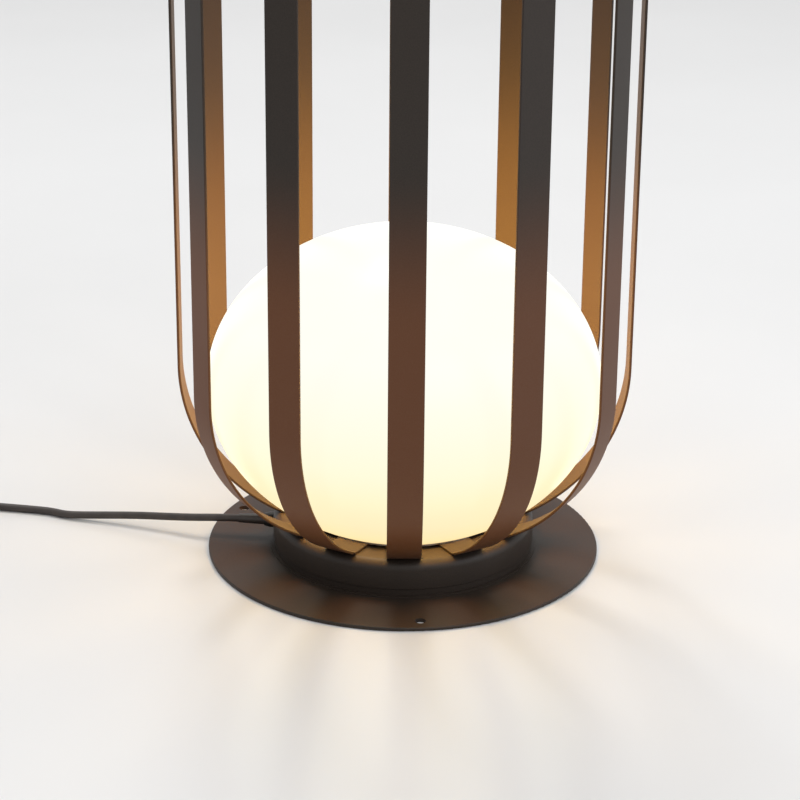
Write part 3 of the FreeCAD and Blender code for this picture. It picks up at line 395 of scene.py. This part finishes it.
pedestal_cap = lathed("pedestal_cap_spun", rounded_outline([
    (CAP_R, CAP_LOW, 0.0005),
    (CAP_R, CAP_TOP, CAP_EDGE),
    (MOUTH_R, CAP_TOP, 0.0005),
    (MOUTH_R, CAP_TOP - CAP_WALL, 0.0004),
    (CAP_R - CAP_WALL, CAP_TOP - CAP_WALL, CAP_EDGE - CAP_WALL),
    (CAP_R - CAP_WALL, CAP_LOW, 0.0004),
], 8), 192)
pedestal_cap.data.materials.append(coat)
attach(pedestal_cap, "root")
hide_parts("pedestal_cap")
dress("pedestal_ring", coat)
dress("floor_plate", coat)

# ---------------------------------------------------------------- cage
# Twelve lengths of flat steel bar, 25.4 by 2 mm with eased edges. Each is rolled to one arc at both ends and
# folded to a short tab, so that it leaves the pedestal, bulges out, runs straight up and closes at the top.
STRIP_W = 0.0254
STRIP_T = 0.002
STRIP_EDGE = 0.00045
CAGE_R = 0.170
BEND_R = 0.132
TAB_IN = 0.062
FOLD_R = 0.093
FOLD_ROUND = 0.005
TOP_FOLD_Z = 0.630
BEND_MID_R = CAGE_R - BEND_R


def strip_line():
    """The strip's outer line in the plane through the axis: points (radius, height) and headings, in radians.
    Tab, small rounded fold, arc about BEND_MID_R, straight, and the same again upside down."""
    fold_turn = math.acos(math.sqrt(BEND_R**2 - (FOLD_R - BEND_MID_R) ** 2) / BEND_R)
    low_z = CAP_TOP + math.sqrt(BEND_R**2 - (FOLD_R - BEND_MID_R) ** 2)
    step_back = FOLD_ROUND * math.tan(fold_turn / 2)
    fold = np.linspace(0, fold_turn, 7)
    arc = np.linspace(fold_turn + step_back / BEND_R, math.pi / 2, 48)
    tab_r = np.array([TAB_IN, TAB_IN + EDGE_GUARD, (TAB_IN + FOLD_R) / 2, FOLD_R - step_back - EDGE_GUARD])
    r = np.concatenate([
        tab_r,
        FOLD_R - step_back + FOLD_ROUND * np.sin(fold),
        BEND_MID_R + BEND_R * np.sin(arc),
    ])
    z = np.concatenate([
        np.full(len(tab_r), CAP_TOP),
        CAP_TOP + FOLD_ROUND * (1 - np.cos(fold)),
        low_z - BEND_R * np.cos(arc),
    ])
    heading = np.concatenate([np.zeros(len(tab_r)), fold, arc])
    top_z = CAP_TOP + TOP_FOLD_Z - z
    middle = np.linspace(z[-1], top_z[-1], 26)[1:-1]
    r_all = np.concatenate([r, np.full(len(middle), CAGE_R), r[::-1]])
    z_all = np.concatenate([z, middle, top_z[::-1]])
    heading_all = np.concatenate([heading, np.full(len(middle), math.pi / 2), math.pi - heading[::-1]])
    return r_all, z_all, heading_all


def bar_section():
    """A flat bar's section, across its width and in from its outer face, with rounded edges."""
    half = STRIP_W / 2
    outline = rounded_outline([
        (half, 0.0, STRIP_EDGE), (half, STRIP_T, STRIP_EDGE), (-half, STRIP_T, STRIP_EDGE), (-half, 0.0, STRIP_EDGE),
    ], 4)
    return outline[:, 0], outline[:, 1]


def make_strip(name, degrees):
    """The section carried along the line: the inward side is the heading turned a quarter left."""
    r, z, heading = strip_line()
    across, inward = bar_section()
    radius = r[:, None] - np.sin(heading)[:, None] * inward
    height = z[:, None] + np.cos(heading)[:, None] * inward
    side = across + 0 * radius
    a = math.radians(degrees)
    grid = np.stack([
        radius * math.cos(a) - side * math.sin(a),
        radius * math.sin(a) + side * math.cos(a),
        height,
    ], axis=-1)
    return grid_piece(name, grid, False, True, ends=True)


for number in range(12):
    node = "cage_strip_%02d" % (number + 1)
    strip = make_strip(node + "_bar", 30.0 * number)
    # The bars wear the coat with the painted glow that stands in for the globe's bloom.
    strip.data.materials.append(coat_with_painted_bloom)
    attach(strip, "root")
    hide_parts(node)

# ---------------------------------------------------------------- screws, nuts, bridge and gallery
# Zinc-plated steel: a bright, slightly blue and cloudy skin. The gallery ring is a laser-cut sheet ring that
# clamps the tabs, with three hooks for the globe, and a black rubber gasket lies on it.
zinc, tree, place = blank_material("zinc_plated_steel")
tone, grain = mottled(tree, place, 4.0, "#9a9ca2", "#b9babd")
dull = add(tree, "MapRange", {"To Min": 0.28, "To Max": 0.45}, {"Value": grain})
finish_material(tree, add(tree, "BsdfPrincipled", {"Metallic": 1.0}, {"Base Color": tone, "Roughness": dull.outputs[0]}))
for node in (
    "pedestal_pillars", "plate_screws", "pillar_screws", "tab_screws", "tab_nuts", "top_screws", "top_nuts",
    "top_stud", "acorn_nut", "gallery_ring", "lamp_bridge", "bridge_screws", "lampholder_screws", "clamp_screws",
    "terminal_screws", "block_screw",
):
    dress(node, zinc)


def plain_moulding(name, dark, light, rough, bump_mm=1.2, metallic=0.0):
    """A moulded or drawn part: two near tones, a fine surface ripple and one roughness."""
    material, tree, place = blank_material(name)
    tone, grain = mottled(tree, place, 6.0, dark, light)
    ripple = add(tree, "TexNoise", {"Scale": 1000 / bump_mm}, {"Vector": place})
    bump = add(tree, "Bump", {"Strength": 0.12, "Distance": 0.0001}, {"Height": ripple.outputs["Fac"]})
    shader = add(tree, "BsdfPrincipled", {"Roughness": rough, "Metallic": metallic},
                 {"Base Color": tone, "Normal": bump.outputs[0]})
    finish_material(tree, shader)
    return material


rubber = plain_moulding("black_rubber", "#141312", "#1d1b1a", 0.62)
nylon = plain_moulding("black_nylon", "#191715", "#23201e", 0.5)
brass = plain_moulding("drawn_brass", "#a98443", "#c29b57", 0.3, metallic=1.0)
nickel = plain_moulding("nickel_plate", "#b0aca2", "#c6c2b8", 0.22, metallic=1.0)
white_nylon = plain_moulding("white_nylon", "#d8d5cb", "#e4e1d8", 0.45)
brown_core = plain_moulding("brown_core_insulation", "#4a2d1c", "#573622", 0.4)
blue_core = plain_moulding("blue_core_insulation", "#1d4a80", "#27578f", 0.4)
strap = plain_moulding("woven_strap", "#121212", "#1f1e1e", 0.9, 0.8)
for node, material in {
    "globe_gasket": rubber, "gland_locknut": nylon,
    "lampholder": nylon, "screw_shell": brass, "centre_contact": brass, "terminal_poles": brass,
    "lamp_cap": nickel, "plug_pins": nickel, "lamp_body": white_nylon, "lamp_dome": white_nylon,
    "cord_clamp_base": nylon, "cord_clamp_bar": nylon, "cable_inner": pvc_sheath, "gland_body": nylon,
    "gland_nut": nylon, "strain_relief": pvc_sheath,
    "plug_body": pvc_sheath, "core_brown": brown_core, "core_blue": blue_core, "terminal_block": white_nylon,
    "coil_tie": strap, "pin_sleeves": nylon, "top_plate": coat,
}.items():
    dress(node, material)

# ---------------------------------------------------------------- globe
# A blown opal globe, wider than it is high, with a smooth closed skin that the lamp inside lights evenly. It
# reads white over its crown and cream towards its foot, where it is farthest from the light.
GLOBE_R = 0.149
GLOBE_HALF_H = 0.1175
GLOBE_WALL = 0.003
GLOBE_SEAT = 0.0355
FOOT_R = 0.079
GLOBE_MID_Z = GLOBE_SEAT + GLOBE_HALF_H * math.sqrt(1 - (FOOT_R / GLOBE_R) ** 2)
RIM_IN_R = 0.0725


def oblate(half_w, half_h, from_z, steps):
    """Half an ellipse about the globe's middle, from a height at its foot up to the pole."""
    first = math.asin((from_z - GLOBE_MID_Z) / half_h)
    t = np.linspace(first, math.pi / 2, steps)
    return np.stack([half_w * np.cos(t), GLOBE_MID_Z + half_h * np.sin(t)], axis=1)


outside = oblate(GLOBE_R, GLOBE_HALF_H, GLOBE_SEAT, 72)
inside = oblate(GLOBE_R - GLOBE_WALL, GLOBE_HALF_H - GLOBE_WALL, GLOBE_SEAT + GLOBE_WALL, 48)[::-1]
outside[-1, 0] = inside[0, 0] = 0.0
rim = np.array([(RIM_IN_R, GLOBE_SEAT + GLOBE_WALL), (RIM_IN_R, GLOBE_SEAT)])
globe = lathed("opal_globe", np.concatenate([outside, inside, rim]), 192)

opal, tree, place = blank_material("lit_opal_glass")
height = add(tree, "SeparateXYZ", links={0: place}).outputs["Z"]
ramp_at = add(tree, "MapRange", {"From Min": GLOBE_SEAT, "From Max": GLOBE_SEAT + 2 * GLOBE_HALF_H}, {"Value": height})
glow = add(tree, "ValToRGB", links={0: ramp_at.outputs[0]})
steps = [(0.0, "#ffe2a0"), (0.06, "#ffeab4"), (0.14, "#fff0c2"), (0.25, "#fff6cc"), (0.36, "#fffbdc"),
         (0.5, "#fffde8"), (0.68, "#fffef4"), (1.0, "#fefff5")]
stops = glow.color_ramp.elements
for at, code in steps[1:-1]:
    stops.new(at)
for stop, (at, code) in zip(stops, steps):
    stop.position = at
    stop.color = colour(code)
finish_material(tree, add(
    tree, "BsdfPrincipled", {"Base Color": (0.0, 0.0, 0.0, 1.0), "Roughness": 0.3, "IOR": 1.3, "Emission Strength": 1.0},
    {"Emission Color": glow.outputs[0]},
))
globe.data.materials.append(opal)
globe.visible_shadow = False
globe.visible_diffuse = False
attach(globe, "root")
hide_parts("globe")

# ---------------------------------------------------------------- top
# A small spun cap with a rounded shoulder hides the upper tabs, held by a nut on a stud.
TOP_CAP_R = 0.092
TOP_CAP_WALL = 0.0015
TOP_CAP_EDGE = 0.006
LAMP_H = 0.650
STUD_HOLE_R = 0.0031
top_cap = lathed("top_cap_spun", rounded_outline([
    (TOP_CAP_R, TOP_FOLD_Z, 0.0004),
    (TOP_CAP_R, LAMP_H, TOP_CAP_EDGE),
    (STUD_HOLE_R, LAMP_H, 0.0003),
    (STUD_HOLE_R, LAMP_H - TOP_CAP_WALL, 0.0003),
    (TOP_CAP_R - TOP_CAP_WALL, LAMP_H - TOP_CAP_WALL, TOP_CAP_EDGE - TOP_CAP_WALL),
    (TOP_CAP_R - TOP_CAP_WALL, TOP_FOLD_Z, 0.0004),
], 8), 160)
top_cap.data.materials.append(coat)
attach(top_cap, "root")
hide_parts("top_cap")

# ---------------------------------------------------------------- light
# The lit globe's own warm light, in one level each for the cage, the plate and the floor, and a plain studio:
# soft lights overhead, behind, in front and at the right, and pale surroundings.
def soft_light(name, kind, place, power, tint, **settings):
    lamp = bpy.data.lights.new(name, kind)
    lamp.energy = power
    lamp.color = colour(tint)[:3]
    for key, value in settings.items():
        setattr(lamp, key, value)
    holder = bpy.data.objects.new(name, lamp)
    holder.location = place
    bpy.context.collection.objects.link(holder)
    return holder


def aim(holder, target):
    holder.rotation_euler = (Vector(target) - holder.location).to_track_quat("-Z", "Y").to_euler()


GLOW_R = 0.095
CAGE_NAMES = ("cage_strip", "pedestal_cap", "top_", "gallery", "globe_gasket", "tab_")
cage_pieces = [piece for piece in bpy.context.scene.objects if piece.name.startswith(CAGE_NAMES)]
for name, power, tint, lit_pieces in (
    ("glow_on_cage", 17.0, "#ffbc4e", cage_pieces),
    ("glow_on_plate", 8.0, "#ffa648", [cad["floor_plate"], cad["pedestal_ring"]]),
    ("glow_on_floor", 1.8, "#ffca58", [studio_floor, mains_lead]),
):
    glow_lamp = soft_light(name, "POINT", (0, 0, GLOBE_MID_Z), power, tint, shadow_soft_size=GLOW_R)
    falls_on = bpy.data.collections.new(name + "_pieces")
    for piece in lit_pieces:
        falls_on.objects.link(piece)
    glow_lamp.light_linking.receiver_collection = falls_on

front_light = soft_light("front_softbox", "AREA", (0.9, -2.3, 2.2), 17.0, "#ffffff", size=1.8)
aim(front_light, (0, 0, 0.1))
top_light = soft_light("back_softbox", "AREA", (-0.3, 1.5, 2.7), 22.0, "#ffffff", size=0.6)
aim(top_light, (0, 0, 0.1))
over_light = soft_light("overhead_softbox", "AREA", (0.0, 0.2, 3.2), 36.0, "#ffffff", size=2.4)
aim(over_light, (0, 0, 0))
side_light = soft_light("right_softbox", "AREA", (2.3, -0.9, 1.1), 17.0, "#f4f8ff", size=1.8)
aim(side_light, (0, 0, 0.35))

SURROUND = 0.38
BACKDROP = "#ececec"
world = bpy.data.worlds.new("pale_studio")
bpy.context.scene.world = world
world.use_nodes = True
tree = world.node_tree
tree.nodes.clear()
path = add(tree, "LightPath")
seen = add(tree, "Math", links={0: path.outputs["Is Camera Ray"], 1: path.outputs["Is Glossy Ray"]}, operation="MAXIMUM")
seen = add(tree, "Math", links={0: seen.outputs[0], 1: path.outputs["Is Transmission Ray"]}, operation="MAXIMUM")
ambient = add(tree, "Background", {"Color": colour("#ffffff"), "Strength": SURROUND})
pale = add(tree, "Background", {"Color": colour(BACKDROP), "Strength": 1.0})
both = add(tree, "MixShader", links={0: seen.outputs[0], 1: ambient.outputs[0], 2: pale.outputs[0]})
add(tree, "OutputWorld", links={"Surface": both.outputs[0]})
